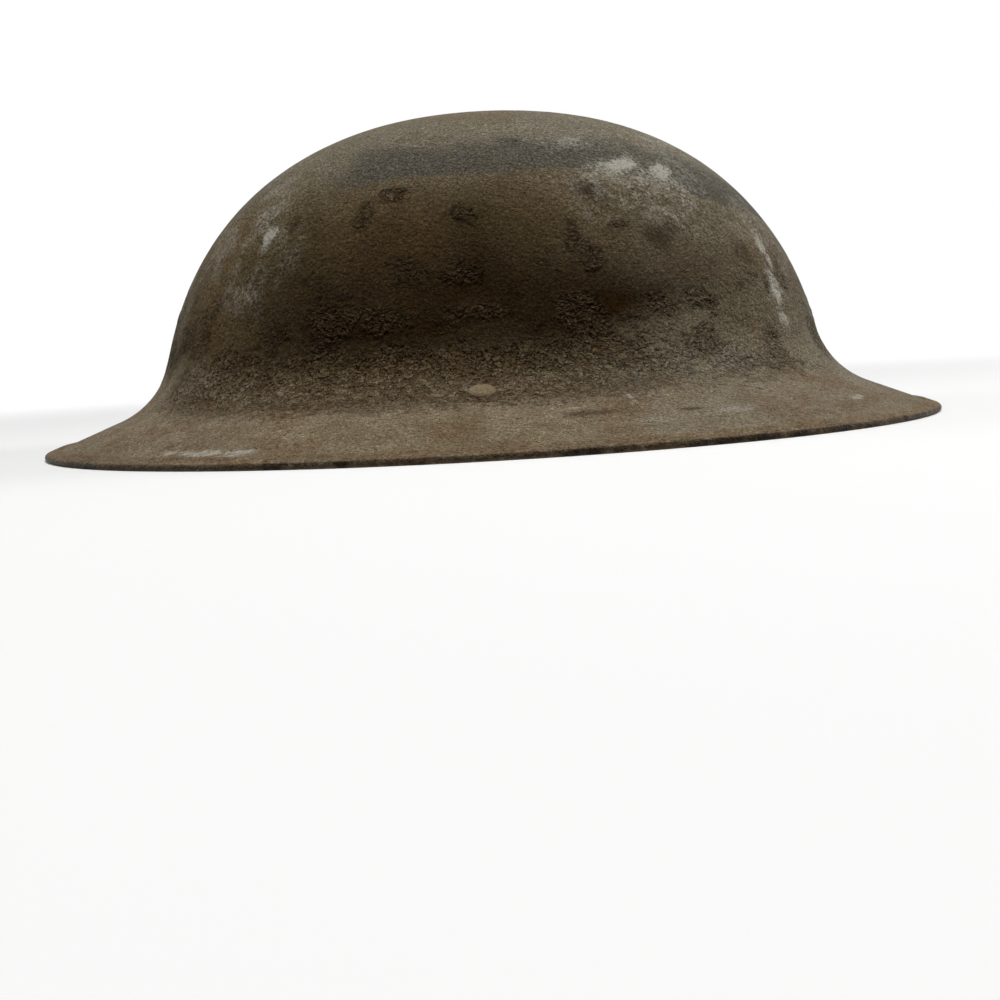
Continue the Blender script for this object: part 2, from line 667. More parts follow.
def band_mask(points, small):
    """Grey band round the upper bowl, lower towards the front, fading at the back."""
    x, y, z = np.moveaxis(points, -1, 0)
    loose = layered(points, 26, 11)
    above = z - (84.5 - 13 * smooth(x, 35, 92) + 3 * (loose - 0.5)) + 6 * (small - 0.5)
    band = smooth(above, 11, 0) * smooth(above, -6.5, -4.5) * smooth(x, -52, -30)
    return np.clip(band * (1 - 0.6 * smooth(y, -20, 30) * smooth(loose, 0.45, 0.6)), 0, 1)


def grit_mask(points, side, ahead, small, far):
    """Grit, thick where the bowl turns into the brim, and in patches."""
    z = points[..., 2]
    junction = smooth(z, 10, 18) * smooth(z, 33, 22) * smooth(side, 0.3, 0.75) * (1 - 0.7 * ahead)
    lower = smooth(z, 66, 34) * smooth(z, 14, 24)
    clusters = far * smooth(layered(points, 17, 41), 0.56, 0.72) * smooth(z, 86, 70)
    clusters = clusters * (0.45 + 0.55 * smooth(z, 12, 24))
    grit = 0.85 * junction * smooth(small, 0.02, 0.45) + 0.4 * lower * smooth(small, 0.4, 0.7)
    return np.clip(grit + marked(points, PITTED, 31) + 0.8 * clusters, 0, 1)


def wear_mask(points, far):
    """Marks rubbed down to the metal, with a haze at the front and back, and scuffs on the far side."""
    x, _, z = np.moveaxis(points, -1, 0)
    scuffs = far * smooth(layered(points, 13, 51, 4), 0.66, 0.8)
    scuffs = scuffs * np.maximum(smooth(z, 60, 80), smooth(z, 12, 5))
    drawn_out = layered(points * [1, 1, 0.45], 13, 55, 4)
    mottled = smooth(drawn_out, 0.42, 0.7) * smooth(np.abs(x), 34, 66) * smooth(z, 26, 50)
    clouds = 0.2 + 0.35 * smooth(layered(points, 19, 57), 0.35, 0.65)
    front_haze = smooth(x, 24, 60) * smooth(z, 40, 66) * clouds
    wear = np.maximum(np.maximum(marked(points, WORN, 61), 0.5 * mottled), front_haze)
    return np.clip(wear + 0.8 * scuffs, 0, 1)


def shell_masks(points):
    """Numbers from 0 to 1 over the shell for its paint."""
    x, y, z = np.moveaxis(points, -1, 0)
    side = np.abs(np.sin(np.arctan2(y, x)))
    ahead = smooth(x, 20, 60)
    behind = smooth(x, -60, -95)
    far = smooth(y, -10, 20)
    small = layered(points, 9, 21)
    grey = smooth(z, 66, 92) * 0.9 + smooth(side, 0.55, 0.25) * 0.4 + 0.5 * smooth(x, 5, 60)
    rust = smooth(z, 22, 12) * smooth(layered(points, 15, 81), 0.5, 0.66) * 0.8
    rust = rust + 0.5 * smooth(layered(points, 24, 91), 0.58, 0.7)
    return {"wear": wear_mask(points, far), "stain": stain_mask(points, side, ahead),
            "band": band_mask(points, small), "grit": grit_mask(points, side, ahead, small, far),
            "grey": np.clip(grey, 0, 1), "rust": np.clip(rust, 0, 1),
            "tan": smooth(z - 7 * ahead - 8 * behind, 27, 15)}


def grit_height(points, grit):
    """Height of the grit and dents over the steel in millimetres, and the share of crumbs."""
    dents = 0.5 * (layered(points, 55, 101, 2) - 0.5)
    bent = points + 1.6 * np.stack([noise(points, 4, seed) for seed in (113, 115, 117)], -1)
    crumb = smooth(layered(bent, 3.2, 111, 2), 0.47, 0.6) * grit
    hollows = smooth(layered(points, 6, 121, 2), 0.55, 0.7) * 0.2 * grit
    return dents + 0.6 * crumb - hollows + 0.06 * (layered(points, 3.1, 131, 2) - 0.5), crumb


# Share of the outer face's masks that the inside has, and the least of each
UNDER_PAINT = {"stain": (0.5, 0.12), "rust": (0.6, 0.1), "grey": (0.0, 0.4), "wear": (0.25, 0.0)}


def shell_faces():
    """Both faces of the shell, each with a fan at the crown, and the wall at its edge."""
    crown = AROUND * SHELL_ROWS
    start = crown + 1
    under_crown = start + INSIDE_ROWS * INSIDE_AROUND
    faces = grid_faces(SHELL_ROWS, AROUND).tolist()
    faces += [[crown, i, (i + 1) % AROUND] for i in range(AROUND)]
    faces += (grid_faces(INSIDE_ROWS, INSIDE_AROUND)[:, ::-1] + start).tolist()
    faces += [[under_crown, start + (i + 1) % INSIDE_AROUND, start + i] for i in range(INSIDE_AROUND)]
    step = AROUND // INSIDE_AROUND
    outer_edge = crown - AROUND
    inner_edge = under_crown - INSIDE_AROUND
    for i in range(INSIDE_AROUND):
        outer_run = [outer_edge + (i * step + k) % AROUND for k in range(step, -1, -1)]
        faces.append(outer_run + [inner_edge + i, inner_edge + (i + 1) % INSIDE_AROUND])
    return faces


def make_shell():
    outer, normals = face_grid(AROUND, SHELL_ROWS)
    masks = shell_masks(outer)
    height, masks["crumb"] = grit_height(outer, masks["grit"])
    outside_rim = smooth(outer[..., 2], 3.6, 4.4)
    outer = outer + normals * (height * outside_rim)[..., None]
    inner, inner_normals = face_grid(INSIDE_AROUND, INSIDE_ROWS, STEEL)
    inner_masks = shell_masks(inner)
    inner = inner + inner_normals * (0.12 * (noise(inner, 8, 141) - 0.5))[..., None]
    crown = np.array([[BOWL_SHIFT, 0, CROWN_HEIGHT]])
    points = np.concatenate([outer.reshape(-1, 3), crown, inner.reshape(-1, 3), crown - [0, 0, STEEL]])
    piece = mesh_object("helmet_shell", points, shell_faces())
    for name, values in masks.items():
        share, least = UNDER_PAINT.get(name, (0, 0))
        below = least + share * inner_masks.get(name, np.zeros(inner.shape[:-1]))
        paint_mask(piece, name, np.concatenate([values.ravel(), values[0, :1], below.ravel(), below[0, :1]]))
    dress(piece, "helmet", "steel_paint", "shell")


def rim_section():
    """The folded edging's outline: out along the brim, and up from its outer face."""
    steps = 10
    turns = [math.pi / 2 - math.pi * i / steps for i in range(steps + 1)]
    lower = -STEEL - RIM_GAP
    outline = [(-RIM_LEG, 0.01), (-RIM_LEG, RIM_GAP + 0.15), (0.5 - RIM_LEG, RIM_GAP + 0.7 * RIM_WALL)]
    outline += [(-RIM_LEG * share, RIM_GAP + RIM_WALL) for share in (0.75, 0.5, 0.25)]
    outline += [(NOSE_R * math.cos(t), NOSE_R * math.sin(t) - STEEL / 2) for t in turns]
    outline += [(-RIM_LEG * share, lower - RIM_WALL) for share in (0.25, 0.5, 0.75)]
    outline += [(0.25 - RIM_LEG, lower - RIM_WALL), (-RIM_LEG, lower - 0.6 * RIM_WALL), (-RIM_LEG, lower)]
    return outline + [(0, lower), (0, 0.01)]


def make_rim():
    outline = np.array(rim_section())
    seam = RIM_SEAM / BRIM_LENGTH
    phi = np.linspace(math.pi + seam, 3 * math.pi - seam, AROUND + 1)[:, None]
    edge_r, edge_z = edge_place(phi)
    out, up = outline.T
    r = edge_r + out * math.cos(BRIM_SLOPE) + up * math.sin(BRIM_SLOPE)
    z = edge_z - out * math.sin(BRIM_SLOPE) + up * math.cos(BRIM_SLOPE)
    share = np.clip((edge_r - r) / (edge_r - bowl_radius(phi)), 0, 1)
    points = xyz(r * np.cos(phi) + BOWL_SHIFT * share, r * np.sin(phi), np.maximum(z, 0))
    nose = smooth(out, 0.05, 0.75) + 0 * phi
    points[..., 2] += 0.10 * (layered(points, 12, 151) - 0.5) * (1 - nose)
    count = len(outline)
    faces = grid_faces(len(phi), count).tolist()
    faces += [list(range(count)), [len(phi) * count - 1 - k for k in range(count)]]
    piece = mesh_object("rim_edging", points.reshape(-1, 3), faces)
    masks = shell_masks(points)
    chips = smooth(layered(points, 6, 161), 0.5, 0.68)
    paint_mask(piece, "rubbed", np.clip(nose * (0.75 + 0.5 * chips), 0, 1))
    paint_mask(piece, "wear", masks["wear"])
    paint_mask(piece, "stain", 0.15 * chips)
    paint_mask(piece, "rust", np.clip(masks["rust"] + 0.4, 0, 1))
    paint_mask(piece, "tan", masks["tan"] * 0.8)
    dress(piece, "helmet", "steel_paint", "rim")


# Surfaces with a thickness, ropes and turned pieces

def skin(name, points, faces, thickness):
    """A thin piece on both sides of a surface, with its edges closed."""
    points = np.asarray(points, float)
    faces = np.asarray(faces, int)
    corners = points[faces]
    across = np.cross(corners[:, 2] - corners[:, 0], corners[:, 3] - corners[:, 1])
    normals = np.zeros_like(points)
    for k in range(4):
        np.add.at(normals, faces[:, k], across)
    normals /= np.maximum(np.linalg.norm(normals, axis=1), 1e-9)[:, None]
    half = np.asarray(thickness, float).reshape(-1, 1) / 2
    count = len(points)
    directed = {(face[k], face[(k + 1) % 4]) for face in faces.tolist() for k in range(4)}
    walls = [[b, a, a + count, b + count] for a, b in sorted(directed) if (b, a) not in directed]
    both = np.concatenate([points + normals * half, points - normals * half])
    return mesh_object(name, both, faces.tolist() + (faces[:, ::-1] + count).tolist() + walls)


def both_sides(values):
    return np.concatenate([np.ravel(values), np.ravel(values)])


def rounded(place, half, radius):
    """Share of the full thickness at a place across a strip, where its edges are rounded."""
    inside = np.clip((np.abs(place) - (half - radius)) / radius, 0, 1)
    return np.sqrt(np.maximum(1 - inside ** 2, 0.1))


def tube_mesh(path, radius, sides=12, closed=False, plies=0, pitch=5.0, lobes=0.16):
    """Points and faces of a round tube along a path, twisted from plies of yarn if plies is set."""
    path = np.asarray(path, float)
    ahead = np.roll(path, -1, 0) - np.roll(path, 1, 0) if closed else np.gradient(path, axis=0)
    ahead /= np.linalg.norm(ahead, axis=1)[:, None]
    length = travelled(path)
    side = np.cross(ahead[0], (0, 0, 1) if abs(ahead[0, 2]) < 0.8 else (1, 0, 0))
    frames = []
    for direction in ahead:
        side = side - direction * (side @ direction)
        side = side / np.linalg.norm(side)
        frames.append(side)
    side = np.array(frames)
    up = np.cross(ahead, side)
    turn = np.arange(sides) * 2 * math.pi / sides
    radius = np.broadcast_to(np.asarray(radius, float), (len(path),))[:, None]
    if plies:
        total = length[-1] + (np.linalg.norm(path[0] - path[-1]) if closed else 0)
        whole = max(1, round(total / pitch)) if closed else total / pitch
        phase = length[:, None] / total * whole * 2 * math.pi
        radius = radius * (1 - lobes + lobes * np.abs(np.cos(plies / 2 * (turn[None] - phase))))
    ring = side[:, None] * np.cos(turn)[None, :, None] + up[:, None] * np.sin(turn)[None, :, None]
    points = (path[:, None] + radius[..., None] * ring).reshape(-1, 3)
    faces = grid_faces(len(path), sides)[:, ::-1].tolist()
    last = (len(path) - 1) * sides
    if closed:
        shift = int(np.argmin(np.linalg.norm(points[:sides] - points[last], axis=1)))
        faces += [[last + k, last + (k + 1) % sides, (k + 1 + shift) % sides, (k + shift) % sides]
                  for k in range(sides)]
    else:
        faces += [list(range(sides))[::-1], [last + k for k in range(sides)]]
    return points, faces


def joined(parts):
    """One list of points and faces from several."""
    points = []
    faces = []
    start = 0
    for part_points, part_faces in parts:
        points.append(part_points)
        faces += [[v + start for v in face] for face in part_faces]
        start += len(part_points)
    return np.concatenate(points), faces


def turned(profile, count=72):
    """Points and faces of rings turned about Z from (radius, height) pairs."""
    r, z = np.array(profile, float).T[..., None]
    a = np.arange(count) * 2 * math.pi / count
    return xyz(r * np.cos(a), r * np.sin(a), z).reshape(-1, 3), grid_faces(len(r), count)[:, ::-1].tolist()


def turned_solid(profile, count=72):
    """A turned solid whose profile runs from just off the axis at the bottom to just off it at the top."""
    points, faces = turned(profile, count)
    last = (len(profile) - 1) * count
    return points, faces + [list(range(count))[::-1], [last + k for k in range(count)]]


def turned_ring(profile, count=72):
    """A turned ring whose profile closes on itself."""
    points, faces = turned(profile, count)
    last = (len(profile) - 1) * count
    faces += [[last + k, last + (k + 1) % count, (k + 1) % count, k] for k in range(count)]
    return points, faces


def placed(points, matrix):
    m = np.array(matrix)
    return points @ m[:3, :3].T + m[:3, 3]


def shift(x, y, z):
    return Matrix.Translation((x, y, z))


def turn_x(angle):
    return Matrix.Rotation(angle, 4, "X")


def turn_z(angle):
    return Matrix.Rotation(angle, 4, "Z")


def stitch_row(places, outward, length=2.6, radius=0.42, spacing=3.4):
    """Stitches of thread along a run of points, each with both ends drawn in under the surface."""
    along = travelled(places)
    rise = radius * (1.5 * np.sin(np.linspace(0, math.pi, 6)) - 0.75)
    parts = []
    for start in np.arange(spacing / 2, along[-1] - length, spacing):
        at = start + np.linspace(0, length, 6)
        path, out = (np.stack([np.interp(at, along, axis) for axis in np.transpose(values)], -1)
                     for values in (places, outward))
        parts.append(tube_mesh(path + out * rise[:, None], radius, 6, plies=2, pitch=1.6, lobes=0.2))
    return parts


# Rivets and the crown

def dome_profile(diameter, height):
    """A low rivet head from its lip to its top, standing on z = 0."""
    turn = np.linspace(0, math.pi / 2, 14)[:-1]
    r = diameter / 2 * np.cos(turn) ** 0.62
    z = 0.25 + (height - 0.25) * np.sin(turn) ** 1.25
    return [(diameter / 2 - 0.12, 0), (diameter / 2, 0.1)] + list(zip(r, z)) + [(0.05, height)]


def fitting_frame(side):
    """Frame on the brim's outer face at a chinstrap rivet, where local Y runs inward along the steel."""
    edge_r, edge_z = edge_place(math.pi / 2)
    r = BOWL_HALF_WIDTH + FITTING_OUT
    z = edge_z + (edge_r - r) * math.tan(BRIM_SLOPE)
    half_turn = math.pi if side == "left" else 0
    return shift(-FITTING_BACK, r if side == "left" else -r, z) @ turn_z(half_turn) @ turn_x(BRIM_SLOPE)


def make_rivets():
    tail = -STEEL - LUG_GAP - LUG_T
    flared = RIVET_TAIL_D / 2
    profile = [(0.05, tail - 0.9), (flared - 0.5, tail - 0.85), (flared - 0.1, tail - 0.6),
               (flared, tail - 0.2), (flared - 0.1, tail), (RIVET_SHANK_D / 2, tail),
               (RIVET_SHANK_D / 2, -0.1)]
    profile += dome_profile(RIVET_HEAD_D, RIVET_HEAD_H - 0.1)
    for number, side in enumerate(("right", "left")):
        points, faces = turned_solid(profile)
        lumps = layered(points + 40 * number, 2.4, 201) - 0.5
        points[:, 2] += 0.12 * lumps * smooth(points[:, 2], 0.2, 0.6)
        piece = mesh_object("chinstrap_rivet_head_" + side, placed(points, fitting_frame(side)), faces)
        rivet_masks(piece, points)
        dress(piece, "helmet", "steel_paint", "chinstrap_rivet_" + side, material=rivet_paint)


def rivet_masks(piece, points):
    """A rivet head is rubbed on top, and rusty round its lip."""
    height = points[:, 2]
    paint_mask(piece, "rust", smooth(height, 1.3, 0.2) * 0.3 + 0.3)
    paint_mask(piece, "tan", 0.6 * smooth(height, 0.1, 0.4))
    paint_mask(piece, "stain", smooth(height, 0.25, 0.0))
    paint_mask(piece, "wear", 0.35 * smooth(layered(points, 1.6, 211), 0.5, 0.8))


def inside_z(r, half_width):
    """Height of the inside of the steel at a distance from the crown."""
    share = (1 - (r / half_width) ** SQUARENESS) ** (1 / SQUARENESS)
    return CROWN_HEIGHT - STEEL - BOWL_DEPTH * (1 - share)


FELT_Z = CROWN_HEIGHT - STEEL - FELT_DROP
CLOTH_Z = FELT_Z - OILCLOTH_T
WASHER_Z = CLOTH_Z - WASHER_T


def make_crown_rivet():
    """The rivet through the crown, with its closed end."""
    tail = WASHER_Z - 1.2
    shank = CROWN_SHANK_D / 2
    profile = [(0.05, tail), (3.2, tail), (4.2, tail + 0.2), (4.5, tail + 0.7), (4.3, tail + 1.2),
               (shank, tail + 1.2), (shank, CROWN_HEIGHT - 0.4)]
    profile += [(r, z + CROWN_HEIGHT) for r, z in dome_profile(CROWN_HEAD_D, CROWN_HEAD_H)]
    points, faces = turned_solid(profile)
    points += [BOWL_SHIFT, 0, 0]
    piece = mesh_object("crown_rivet_head", points, faces)
    rivet_masks(piece, points - [0, 0, CROWN_HEIGHT])
    dress(piece, "helmet", "steel_paint", "crown_rivet", material=rivet_paint)


def make_crown_washer():
    bore = CROWN_SHANK_D / 2 + FIT
    outer = WASHER_D / 2
    rounding = [(bore, 0.1), (bore + 0.15, 0), (outer - 0.4, 0), (outer - 0.1, 0.15), (outer, 0.5),
                (outer - 0.1, 0.85), (outer - 0.4, WASHER_T), (bore + 0.1, WASHER_T)]
    points, faces = turned_ring([(r, WASHER_Z + z) for r, z in rounding])
    points[:, 2] += 0.08 * (layered(points, 5, 221) - 0.5)
    points += [BOWL_SHIFT, 0, 0]
    dress(mesh_object("crown_washer_disc", points, faces), "helmet", "bare_steel", "crown_washer")


def make_felt():
    outer = FELT_D / 2
    edge_r = 0.6
    radii = np.linspace(CROWN_SHANK_D / 2 + FIT, outer - edge_r, 26)
    top = [(r, inside_z(r, BOWL_HALF_WIDTH) - LOOSE - 0.3) for r in radii]
    low = FELT_Z + 0.8
    edge = [(outer - edge_r + edge_r * math.sin(t), low + (top[-1][1] - low) * (0.5 + 0.5 * math.cos(t)))
            for t in np.linspace(0.2, math.pi - 0.2, 7)]
    bottom = [(r, FELT_Z + 0.25) for r in radii]
    points, faces = turned_ring([*bottom, *edge[::-1], *top[::-1]], 120)
    lumps = layered(points, 4, 231, 4) - 0.5
    points = points + 0.35 * lumps[:, None] * np.array([0.5, 0.5, 0.6]) + [BOWL_SHIFT, 0, 0]
    piece = dress(mesh_object("crown_felt_pad", points, faces), "helmet", "felt", "crown_felt")


HEADBAND_TOP = HEADBAND_BASE + HEADBAND_W
CUSHION_Z = HEADBAND_BASE + (CARRIER_W - CUSHION_LEN) / 2


def bowl_share(z):
    """Share of the bowl's widest radius at a height."""
    return (1 - (1 - (CROWN_HEIGHT - z) / BOWL_DEPTH) ** SQUARENESS) ** (1 / SQUARENESS)


HEAD_HALF_LENGTH = BOWL_HALF_LENGTH * bowl_share(CUSHION_Z + CUSHION_LEN) - END_ROOM
HEAD_HALF_WIDTH = BOWL_HALF_WIDTH * bowl_share(CUSHION_Z + CUSHION_LEN) - SIDE_ROOM


def finger_section(turn):
    """A finger's facing, and its distances out, heights, asides and half widths from the crown down."""
    a = HEAD_HALF_LENGTH + HEADBAND_T + FIT
    b = HEAD_HALF_WIDTH + HEADBAND_T + FIT
    facing = math.atan2(math.sin(turn) / b, math.cos(turn) / a)
    reach = a * math.cos(turn) * math.cos(facing) + b * math.sin(turn) * math.sin(facing)
    aside = b * math.sin(turn) * math.cos(facing) - a * math.cos(turn) * math.sin(facing)
    rows = 40
    lean = np.linspace(0, math.pi / 2, rows)
    out = OILCLOTH_MIDDLE_R + (reach - OILCLOTH_MIDDLE_R) * np.sin(lean)
    half = (FINGER_W + FINGER_FLARE * (1 - np.linspace(0.2, 0.85, rows))) / 2
    corner = np.hypot(out, np.abs(aside * out / reach) + half)
    steel = inside_z(corner, bowl_radius(facing)) - OILCLOTH_T - OILCLOTH_CLEAR
    z = np.maximum(HEADBAND_TOP + LOOSE, np.minimum(CLOTH_Z, steel))
    down = np.linspace(0, 1, 9)[1:]
    out = np.concatenate([out, np.full(8, reach)])
    z = np.concatenate([z, z[-1] + (HEADBAND_TOP - FINGER_SEWN - z[-1]) * down])
    half = np.concatenate([half, np.linspace(half[-1], FINGER_W / 2, 8)])
    return facing, out, z, aside * out / reach, half


def finger_rows(i):
    """Points of a finger and of its share of the middle, row by row, and the area of the finger."""
    turn = (i + 0.5) * 2 * math.pi / FINGER_COUNT
    facing, out, z, aside, half = finger_section(turn)
    columns = np.linspace(-1, 1, CLOTH_COLUMNS)
    radii = np.linspace(CROWN_SHANK_D / 2 + FIT, OILCLOTH_MIDDLE_R - 1, 16)[:, None]
    angle = turn + columns * math.pi / FINGER_COUNT
    middle = xyz(radii * np.cos(angle), radii * np.sin(angle), CLOTH_Z)
    narrowed = half * np.where(np.arange(len(half)) > 3, 0.97, 0.94)
    side = aside[:, None] + columns * narrowed[:, None]
    reach = out[:, None]
    finger = xyz(reach * math.cos(facing) - side * math.sin(facing),
                 reach * math.sin(facing) + side * math.cos(facing), z[:, None])
    rows = np.concatenate([middle, finger])
    row = np.arange(len(rows))
    free = smooth(row, 16, 24) * smooth(row, len(rows) - 1, len(rows) - 12)
    wave = layered(rows * [1, 1, 0.5], 16, 241 + i) - 0.5
    rows[..., 2] += free[:, None] * (1.1 * wave - 0.5 * columns ** 2)
    length = travelled(np.stack([out, z], -1))
    return rows, float(np.sum(np.diff(length) * (half[1:] + half[:-1])))


def make_oilcloth():
    """One cut piece of oilcloth: a round middle under the felt, and fingers down to the headband."""
    fingers, areas = zip(*[finger_rows(i) for i in range(FINGER_COUNT)])
    rows = len(fingers[0])
    grid = grid_faces(rows, CLOTH_COLUMNS, False)[:, ::-1]
    faces = np.concatenate([grid + i * rows * CLOTH_COLUMNS for i in range(FINGER_COUNT)])
    points = np.concatenate(fingers).reshape(-1, 3)
    _, first, inverse = np.unique(points.round(3), axis=0, return_index=True, return_inverse=True)
    points = points[first] + [BOWL_SHIFT, 0, OILCLOTH_T / 2]
    piece = skin("crown_oilcloth_cover", points, inverse.ravel()[faces], OILCLOTH_T)
    dress(piece, "helmet", "oilcloth", "crown_oilcloth")
    area = math.pi * OILCLOTH_MIDDLE_R ** 2 + sum(areas)


# Headband, its tape and its cushions

def band_ring(outward, width, around, rows, seed):
    """Surface points of a band round the head, row by row, with its facings, run round and heights."""
    half_length = HEAD_HALF_LENGTH + outward
    half_width = HEAD_HALF_WIDTH + outward
    turn = np.arange(around) * 2 * math.pi / around
    x = half_length * np.cos(turn)
    y = half_width * np.sin(turn)
    facing = xyz(np.cos(turn) / half_length, np.sin(turn) / half_width, 0)
    facing /= np.linalg.norm(facing, axis=1)[:, None]
    height = np.linspace(0, width, rows)[:, None] + 0 * turn
    points = xyz(x, y, height + HEADBAND_BASE)
    push = 0.25 * (layered(points, 30, seed) - 0.5)
    points = points + push[..., None] * facing[None] + [BOWL_SHIFT, 0, 0]
    step = np.hypot(np.diff(x, append=x[0]), np.diff(y, append=y[0]))
    return points, facing, np.tile(np.cumsum(step), (rows, 1)), height


def make_headband():
    around, rows = 480, 25
    points, facing, _, height = band_ring(HEADBAND_T / 2, HEADBAND_W, around, rows, 251)
    half = HEADBAND_W / 2
    place = half * np.sign(height - half) * (np.abs(height - half) / half) ** 0.7
    points[..., 2] = HEADBAND_BASE + half + place
    turn = np.arange(around) * 2 * math.pi / around
    seam = np.exp(-((turn - math.pi) * HEAD_HALF_LENGTH / 0.5) ** 2)
    thickness = (HEADBAND_T - 0.05) * rounded(place, half, 0.9) * (1 - 0.7 * seam)
    piece = skin("headband_band", points.reshape(-1, 3), grid_faces(rows, around), thickness)
    paint_mask(piece, "edge", both_sides(smooth(np.abs(place), half - 3.5, half - 0.5) + seam))
    paint_mask(piece, "rubbed", both_sides(smooth(layered(points, 18, 261), 0.45, 0.7)))
    dress(piece, "helmet", "headband_leather", "headband")
    dress(mesh_object("headband_stitches", *joined(headband_stitches(points[0], facing))), "helmet", "twine")


def headband_stitches(ring, facing):
    """Three rows of stitches round both sides of the headband, and one on either side of its seam."""
    around = len(ring)
    parts = []
    for z in (3.2, 13, HEADBAND_W - 2.4):
        for side in (1, -1):
            line = ring[[*range(around), 0]] * [1, 1, 0] + [0, 0, HEADBAND_BASE + z]
            face = facing[[*range(around), 0]] * side
            parts += stitch_row(line + face * (HEADBAND_T / 2), face, 2.8, 0.34, 3.8)
    for k in (around // 2 - 3, around // 2 + 3):
        line = xyz(ring[k, 0], ring[k, 1], np.linspace(20, 53, 12))
        parts += stitch_row(line - facing[k] * HEADBAND_T / 2, -np.tile(facing[k], (12, 1)), 2.6, 0.36, 3.6)
    return parts


def make_carrier():
    """The woven tape behind the headband, thinner towards its edges."""
    around, rows = 360, 15
    points, _, length, height = band_ring(HEADBAND_T + FIT + CARRIER_T / 2, CARRIER_W, around, rows, 271)
    half = CARRIER_W / 2
    thickness = (CARRIER_T - 0.1) * rounded(height - half, half, 0.6)
    piece = skin("carrier_tape", points.reshape(-1, 3), grid_faces(rows, around), thickness)
    paint_mask(piece, "along", both_sides(length))
    paint_mask(piece, "across", both_sides(height))
    dress(piece, "helmet", "band_cloth", "carrier_band")


def cushion_frame(i):
    outward = HEADBAND_T + FIT + CARRIER_T
    a = HEAD_HALF_LENGTH + outward
    b = HEAD_HALF_WIDTH + outward
    turn = (i - 0.5) * 2 * math.pi / CUSHION_COUNT
    facing = math.atan2(math.sin(turn) / b, math.cos(turn) / a)
    return shift(BOWL_SHIFT + a * math.cos(turn), b * math.sin(turn), CUSHION_Z) @ turn_z(facing) @ shift(
        TOUCH_GAP + CUSHION_D / 2, 0, 0)


def cushion_profile(outer, bore, lip=0.45, soft=0.12):
    """A cut length of tube with softened lips, as (radius, height) pairs."""
    heights = np.linspace(lip, CUSHION_LEN - lip, 22)
    profile = [(bore, z) for z in heights[::-1]]
    profile += [(bore + 0.15, 0.1), (bore + lip, 0), (outer - lip, 0), (outer - soft, soft)]
    profile += [(outer, z) for z in heights]
    profile += [(outer - soft, CUSHION_LEN - soft), (outer - lip, CUSHION_LEN)]
    return profile + [(bore + lip, CUSHION_LEN), (bore + 0.15, CUSHION_LEN - 0.1)]


def make_cushions():
    """Lengths of rubber tube, each slightly pinched at its pin."""
    outer = CUSHION_D / 2
    for i in range(1, CUSHION_COUNT + 1):
        points, faces = turned_ring(cushion_profile(outer, CUSHION_BORE / 2), 48)
        middle = np.exp(-((points[:, 2] - CUSHION_LEN / 2) / 3.5) ** 2)
        points[:, 0] -= 0.22 * middle * smooth(points[:, 0], 0, outer)
        points[:, 1] *= 1 - 0.015 * math.sin(3 * i)
        outward = points * [1, 1, 0] / np.maximum(np.hypot(points[:, 0], points[:, 1]), 0.1)[:, None]
        points = points + 0.14 * (layered(points + 30 * i, 5, 281) - 0.5)[:, None] * outward
        piece = mesh_object("cushion_tube_%02d" % i, placed(points, cushion_frame(i)), faces)
        dress(piece, "helmet", "rubber", "cushion_%02d" % i)


# Net

def net_point(step, row, depth):
    """A place on the net: an angle in meshes around, a row from the top, and a depth into the twine."""
    phi = np.asarray(step, float) * 2 * math.pi / NET_AROUND
    start = math.asin(NET_HOLE)
    turn = start + (math.pi / 2 - start) * np.asarray(row, float) / NET_ROWS
    reach = ellipse_r(HEAD_HALF_LENGTH, HEAD_HALF_WIDTH, phi) - TOUCH_GAP
    base = HEADBAND_TOP - NET_SEWN
    r = (reach - depth) * np.sin(turn)
    z = base + (CLOTH_Z - NET_DROP - base) * np.cos(turn) - depth * np.cos(turn)
    return xyz(r * np.cos(phi) + BOWL_SHIFT, r * np.sin(phi), z)


def knot_mesh(place, outward, scale, radius, turn):
    """A small overhand knot of twine, flat against the net."""
    t = np.linspace(0, 2 * math.pi, 49)[:-1]
    loop = xyz(np.sin(t) + 2 * np.sin(2 * t), np.cos(t) - 2 * np.cos(2 * t), -1.3 * np.sin(3 * t)) / 3
    outward = outward / np.linalg.norm(outward)
    across = np.cross(outward, [0, 0, 1.0])
    across = across / np.linalg.norm(across) if np.linalg.norm(across) > 0.05 else np.array([1.0, 0, 0])
    upward = np.cross(outward, across)
    x = across * math.cos(turn) + upward * math.sin(turn)
    y = np.cross(outward, x)
    path = place + scale * (loop[:, :1] * x + loop[:, 1:2] * y + loop[:, 2:] * outward)
    return tube_mesh(path, radius, 8, True, plies=2, pitch=2.2, lobes=0.2)


def net_corners(row):
    """The number, angle in meshes, place and outward direction of each corner in a row of meshes."""
    for i in range(NET_AROUND):
        step = i + (row % 2) / 2
        place = net_point(step, row, NET_T / 2)
        yield i, step, place, place - net_point(step, row, NET_T / 2 + 1)


def net_strands():
    """A strand of twine along each side of the meshes."""
    share = np.linspace(0, 1, 22)
    for row in range(NET_ROWS):
        for i, step, _, _ in net_corners(row):
            for side in (-0.5, 0.5):
                sag = 0.35 * np.sin(math.pi * share) * (lattice(i, row, int(side * 2), 291) - 0.3)
                path = net_point(step + side * share, row + share, NET_T / 2 + sag)
                yield tube_mesh(path, 0.78 if row else 0.7, 10, plies=3, pitch=4.2, lobes=0.2)


def net_knots():
    """A knot where strands meet, smaller in the crowded first row."""
    for row in range(1, NET_ROWS):
        size, thread = (1.25, 0.62) if row > 1 else (0.95, 0.5)
        for i, _, place, outward in net_corners(row):
            yield knot_mesh(place, outward, size, thread, 2 * math.pi * lattice(i, row, 3, 301))


